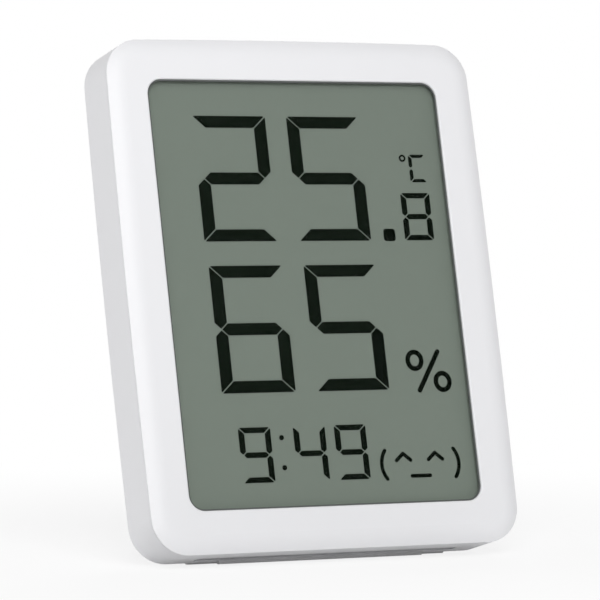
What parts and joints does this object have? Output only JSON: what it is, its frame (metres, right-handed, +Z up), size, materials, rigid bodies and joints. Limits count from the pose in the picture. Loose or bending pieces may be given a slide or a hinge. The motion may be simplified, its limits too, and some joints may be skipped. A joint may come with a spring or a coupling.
{
  "type": "temperature humidity sensor",
  "caption": "Slim desktop temperature and humidity sensor: white rounded housing, large grey-green display, fold-out stand, coin cell under a quarter-turn cover.",
  "frame": {"origin": "on the floor plane, below the middle of the overall box, with the stand open", "axes": "+X to the right of a person who faces the display, +Y from the display to the back, +Z up"},
  "size_m": [0.0886, 0.0392, 0.112],
  "materials": {
    "white_plastic": "satin moulded, very fine grain",
    "button_plastic": "satin moulded",
    "clear_lens": "clear, glossy",
    "black_tape": "matt",
    "polariser_film": "clear film",
    "thin_glass": "clear",
    "grey_reflector": "grey-green, matt",
    "edge_seal": "cured resin",
    "dark_segments": "near black",
    "carrier_plastic": "white, satin",
    "contact_rubber": "striped grey",
    "green_board": "solder mask",
    "screw_steel": "zinc-plated",
    "chip_plastic": "moulded black",
    "bright_can": "bright",
    "capacitor_ceramic": "fired",
    "black_foam": "closed-cell foam",
    "dust_mesh": "fine woven",
    "cell_can": "satin, lightly brushed",
    "contact_metal": "nickel-plated",
    "grey_rubber": "matt",
    "switch_plastic": "moulded"
  },
  "bodies": {
    "housing": {"front_housing": "white_plastic", "rear_housing": "white_plastic", "window_lens": "clear_lens", "lens_tape": "black_tape", "front_polariser": "polariser_film", "lcd_front_glass": "thin_glass", "lcd_rear_glass": "thin_glass", "rear_reflector": "grey_reflector", "lcd_edge_seal": "edge_seal", "temperature_segments": "dark_segments", "humidity_segments": "dark_segments", "time_segments": "dark_segments", "comfort_segments": "dark_segments", "lcd_carrier": "carrier_plastic", "contact_strip": "contact_rubber", "main_board": "green_board", "board_screws": "screw_steel", "housing_screws": "screw_steel", "microcontroller": "chip_plastic", "clock_crystal": "bright_can", "board_capacitors": "capacitor_ceramic", "board_resistors": "chip_plastic", "humidity_sensor": "chip_plastic", "sensor_gasket": "black_foam", "vent_mesh": "dust_mesh", "coin_cell": "cell_can", "negative_contact": "contact_metal", "positive_contact": "contact_metal", "hinge_pin": "screw_steel", "rubber_strips": "grey_rubber", "mode_switch_body": "switch_plastic", "set_switch_body": "switch_plastic"},
    "stand": {"stand": "white_plastic", "stand_foot_beads": "grey_rubber"},
    "cover": {"battery_cover": "white_plastic", "cover_pad": "black_foam"},
    "mode_button": {"mode_button": "button_plastic", "mode_switch_plunger": "switch_plastic"},
    "set_button": {"set_button": "button_plastic", "set_switch_plunger": "switch_plastic"}
  },
  "joints": [
    {"name": "stand_hinge", "type": "hinge", "parent": "housing", "child": "stand", "pos_m": [0, 0.00745, 0.06456], "axis": [1, 0, 0], "range_deg": [-21.91, 0]},
    {"name": "cover_turn", "type": "hinge", "parent": "housing", "child": "cover", "pos_m": [-0.022, 0.01296, 0.08689], "axis": [0, 0.972, -0.2351], "range_deg": [0, 40]},
    {"name": "mode_press", "type": "slide", "parent": "housing", "child": "mode_button", "axis": [0, -0.972, 0.2351], "range_m": [0, 0.00035], "stiffness_N_per_m": 1500},
    {"name": "set_press", "type": "slide", "parent": "housing", "child": "set_button", "axis": [0, -0.972, 0.2351], "range_m": [0, 0.00035], "stiffness_N_per_m": 1500}
  ]
}
